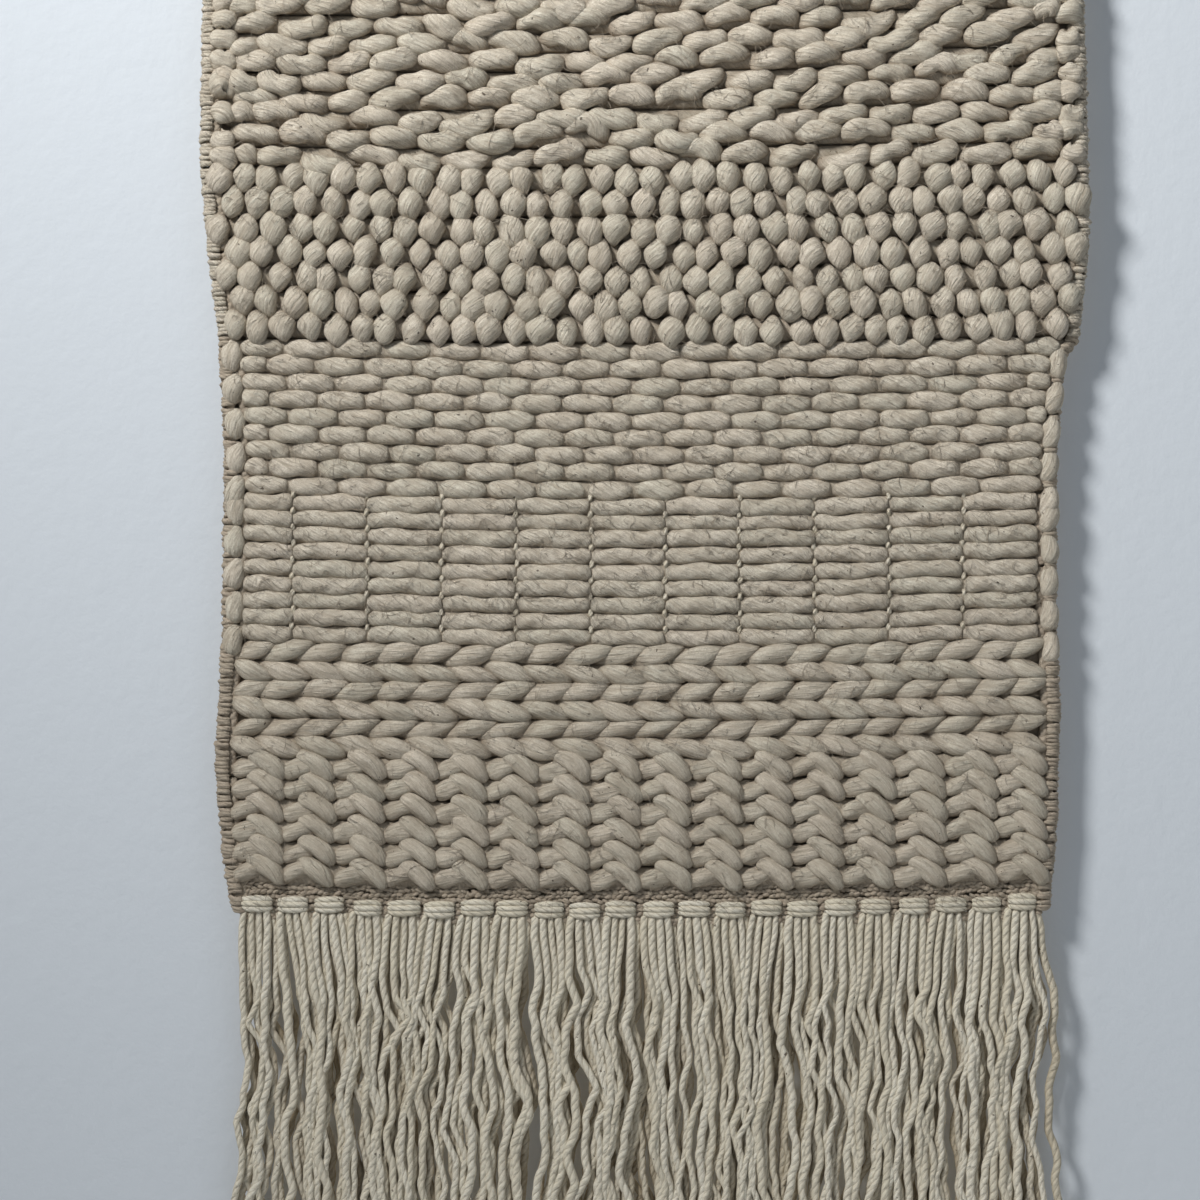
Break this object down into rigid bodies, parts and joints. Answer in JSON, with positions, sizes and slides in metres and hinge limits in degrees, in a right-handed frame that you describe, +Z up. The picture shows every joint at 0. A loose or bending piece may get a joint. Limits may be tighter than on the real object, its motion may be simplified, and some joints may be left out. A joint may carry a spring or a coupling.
{
  "type": "tapestry wall hanging",
  "caption": "Cream woven wool wall hanging on a wooden rod, with bands of loops, bobbles, bricks, bars and herringbone above a long tassel fringe.",
  "frame": {"origin": "on the rod's axis, half way along the rod, where hooks hold the hanging up", "axes": "+X to the right along the rod as seen from the room, -Y out of the wall towards the room, +Z up"},
  "size_m": [0.58, 0.0282, 0.9014],
  "materials": {
    "wool_roving": "matte",
    "ground_yarn": "matte",
    "fringe_yarn": "matte",
    "rod_wood": "satin"
  },
  "bodies": {
    "rod": {"hanging_rod": "rod_wood"},
    "sleeve": {"rod_sleeve": "ground_yarn"},
    "loop_band": {"loop_ground": "ground_yarn", "loop_pass_1": "wool_roving", "loop_pass_2": "wool_roving", "loop_pass_3": "wool_roving", "loop_pass_4": "wool_roving", "loop_pass_5": "wool_roving", "loop_pass_6": "wool_roving", "loop_pass_7": "wool_roving"},
    "bobble_band": {"bobble_ground": "ground_yarn", "bobble_pass_1": "wool_roving", "bobble_pass_2": "wool_roving", "bobble_pass_3": "wool_roving", "bobble_pass_4": "wool_roving"},
    "brick_band": {"brick_ground": "ground_yarn", "brick_pass_1": "wool_roving", "brick_pass_2": "wool_roving", "brick_pass_3": "wool_roving", "brick_pass_4": "wool_roving", "brick_pass_5": "wool_roving"},
    "bar_band": {"bar_ground": "ground_yarn", "bar_pass_1": "wool_roving", "bar_pass_2": "wool_roving", "bar_pass_3": "wool_roving", "bar_pass_4": "wool_roving", "bar_pass_5": "wool_roving"},
    "herringbone_band": {"fringe_header": "fringe_yarn", "herringbone_ground": "ground_yarn", "herringbone_row_1": "wool_roving", "herringbone_row_2": "wool_roving", "herringbone_row_3": "wool_roving", "herringbone_row_4": "wool_roving", "herringbone_row_5": "wool_roving", "herringbone_row_6": "wool_roving", "twined_pair_1": "wool_roving", "twined_pair_2": "wool_roving", "twined_pair_3": "wool_roving"},
    "tassel_01_body": {"tassel_01": "fringe_yarn"},
    "tassel_02_body": {"tassel_02": "fringe_yarn"},
    "tassel_03_body": {"tassel_03": "fringe_yarn"},
    "tassel_04_body": {"tassel_04": "fringe_yarn"},
    "tassel_05_body": {"tassel_05": "fringe_yarn"},
    "tassel_06_body": {"tassel_06": "fringe_yarn"},
    "tassel_07_body": {"tassel_07": "fringe_yarn"},
    "tassel_08_body": {"tassel_08": "fringe_yarn"},
    "tassel_09_body": {"tassel_09": "fringe_yarn"},
    "tassel_10_body": {"tassel_10": "fringe_yarn"},
    "tassel_11_body": {"tassel_11": "fringe_yarn"},
    "tassel_12_body": {"tassel_12": "fringe_yarn"},
    "tassel_13_body": {"tassel_13": "fringe_yarn"},
    "tassel_14_body": {"tassel_14": "fringe_yarn"},
    "tassel_15_body": {"tassel_15": "fringe_yarn"},
    "tassel_16_body": {"tassel_16": "fringe_yarn"},
    "tassel_17_body": {"tassel_17": "fringe_yarn"},
    "tassel_18_body": {"tassel_18": "fringe_yarn"},
    "tassel_19_body": {"tassel_19": "fringe_yarn"},
    "tassel_20_body": {"tassel_20": "fringe_yarn"},
    "tassel_21_body": {"tassel_21": "fringe_yarn"},
    "tassel_22_body": {"tassel_22": "fringe_yarn"}
  },
  "joints": [
    {"name": "sleeve_slide", "type": "slide", "parent": "rod", "child": "sleeve", "axis": [1, 0, 0], "range_m": [-0.024, 0.024]},
    {"name": "panel_swing", "type": "hinge", "parent": "sleeve", "child": "loop_band", "pos_m": [0, 0.0035, -0.029], "axis": [-1, 0, 0], "range_deg": [0, 30]},
    {"name": "bobble_fold", "type": "hinge", "parent": "loop_band", "child": "bobble_band", "pos_m": [0, 0.0035, -0.1936], "axis": [-1, 0, 0], "range_deg": [0, 12]},
    {"name": "brick_fold", "type": "hinge", "parent": "bobble_band", "child": "brick_band", "pos_m": [0, 0.0035, -0.2972], "axis": [-1, 0, 0], "range_deg": [0, 12]},
    {"name": "bar_fold", "type": "hinge", "parent": "brick_band", "child": "bar_band", "pos_m": [0, 0.0035, -0.3899], "axis": [-1, 0, 0], "range_deg": [0, 12]},
    {"name": "herringbone_fold", "type": "hinge", "parent": "bar_band", "child": "herringbone_band", "pos_m": [0, 0.0035, -0.479], "axis": [-1, 0, 0], "range_deg": [0, 12]},
    {"name": "tassel_01_swing", "type": "hinge", "parent": "herringbone_band", "child": "tassel_01_body", "pos_m": [0, 0.004, -0.6428], "axis": [-1, 0, 0], "range_deg": [0, 25]},
    {"name": "tassel_02_swing", "type": "hinge", "parent": "herringbone_band", "child": "tassel_02_body", "pos_m": [0, 0.004, -0.6428], "axis": [-1, 0, 0], "range_deg": [0, 25]},
    {"name": "tassel_03_swing", "type": "hinge", "parent": "herringbone_band", "child": "tassel_03_body", "pos_m": [0, 0.004, -0.6428], "axis": [-1, 0, 0], "range_deg": [0, 25]},
    {"name": "tassel_04_swing", "type": "hinge", "parent": "herringbone_band", "child": "tassel_04_body", "pos_m": [0, 0.004, -0.6428], "axis": [-1, 0, 0], "range_deg": [0, 25]},
    {"name": "tassel_05_swing", "type": "hinge", "parent": "herringbone_band", "child": "tassel_05_body", "pos_m": [0, 0.004, -0.6428], "axis": [-1, 0, 0], "range_deg": [0, 25]},
    {"name": "tassel_06_swing", "type": "hinge", "parent": "herringbone_band", "child": "tassel_06_body", "pos_m": [0, 0.004, -0.6428], "axis": [-1, 0, 0], "range_deg": [0, 25]},
    {"name": "tassel_07_swing", "type": "hinge", "parent": "herringbone_band", "child": "tassel_07_body", "pos_m": [0, 0.004, -0.6428], "axis": [-1, 0, 0], "range_deg": [0, 25]},
    {"name": "tassel_08_swing", "type": "hinge", "parent": "herringbone_band", "child": "tassel_08_body", "pos_m": [0, 0.004, -0.6428], "axis": [-1, 0, 0], "range_deg": [0, 25]},
    {"name": "tassel_09_swing", "type": "hinge", "parent": "herringbone_band", "child": "tassel_09_body", "pos_m": [0, 0.004, -0.6428], "axis": [-1, 0, 0], "range_deg": [0, 25]},
    {"name": "tassel_10_swing", "type": "hinge", "parent": "herringbone_band", "child": "tassel_10_body", "pos_m": [0, 0.004, -0.6428], "axis": [-1, 0, 0], "range_deg": [0, 25]},
    {"name": "tassel_11_swing", "type": "hinge", "parent": "herringbone_band", "child": "tassel_11_body", "pos_m": [0, 0.004, -0.6428], "axis": [-1, 0, 0], "range_deg": [0, 25]},
    {"name": "tassel_12_swing", "type": "hinge", "parent": "herringbone_band", "child": "tassel_12_body", "pos_m": [0, 0.004, -0.6428], "axis": [-1, 0, 0], "range_deg": [0, 25]},
    {"name": "tassel_13_swing", "type": "hinge", "parent": "herringbone_band", "child": "tassel_13_body", "pos_m": [0, 0.004, -0.6428], "axis": [-1, 0, 0], "range_deg": [0, 25]},
    {"name": "tassel_14_swing", "type": "hinge", "parent": "herringbone_band", "child": "tassel_14_body", "pos_m": [0, 0.004, -0.6428], "axis": [-1, 0, 0], "range_deg": [0, 25]},
    {"name": "tassel_15_swing", "type": "hinge", "parent": "herringbone_band", "child": "tassel_15_body", "pos_m": [0, 0.004, -0.6428], "axis": [-1, 0, 0], "range_deg": [0, 25]},
    {"name": "tassel_16_swing", "type": "hinge", "parent": "herringbone_band", "child": "tassel_16_body", "pos_m": [0, 0.004, -0.6428], "axis": [-1, 0, 0], "range_deg": [0, 25]},
    {"name": "tassel_17_swing", "type": "hinge", "parent": "herringbone_band", "child": "tassel_17_body", "pos_m": [0, 0.004, -0.6428], "axis": [-1, 0, 0], "range_deg": [0, 25]},
    {"name": "tassel_18_swing", "type": "hinge", "parent": "herringbone_band", "child": "tassel_18_body", "pos_m": [0, 0.004, -0.6428], "axis": [-1, 0, 0], "range_deg": [0, 25]},
    {"name": "tassel_19_swing", "type": "hinge", "parent": "herringbone_band", "child": "tassel_19_body", "pos_m": [0, 0.004, -0.6428], "axis": [-1, 0, 0], "range_deg": [0, 25]},
    {"name": "tassel_20_swing", "type": "hinge", "parent": "herringbone_band", "child": "tassel_20_body", "pos_m": [0, 0.004, -0.6428], "axis": [-1, 0, 0], "range_deg": [0, 25]},
    {"name": "tassel_21_swing", "type": "hinge", "parent": "herringbone_band", "child": "tassel_21_body", "pos_m": [0, 0.004, -0.6428], "axis": [-1, 0, 0], "range_deg": [0, 25]},
    {"name": "tassel_22_swing", "type": "hinge", "parent": "herringbone_band", "child": "tassel_22_body", "pos_m": [0, 0.004, -0.6428], "axis": [-1, 0, 0], "range_deg": [0, 25]}
  ]
}
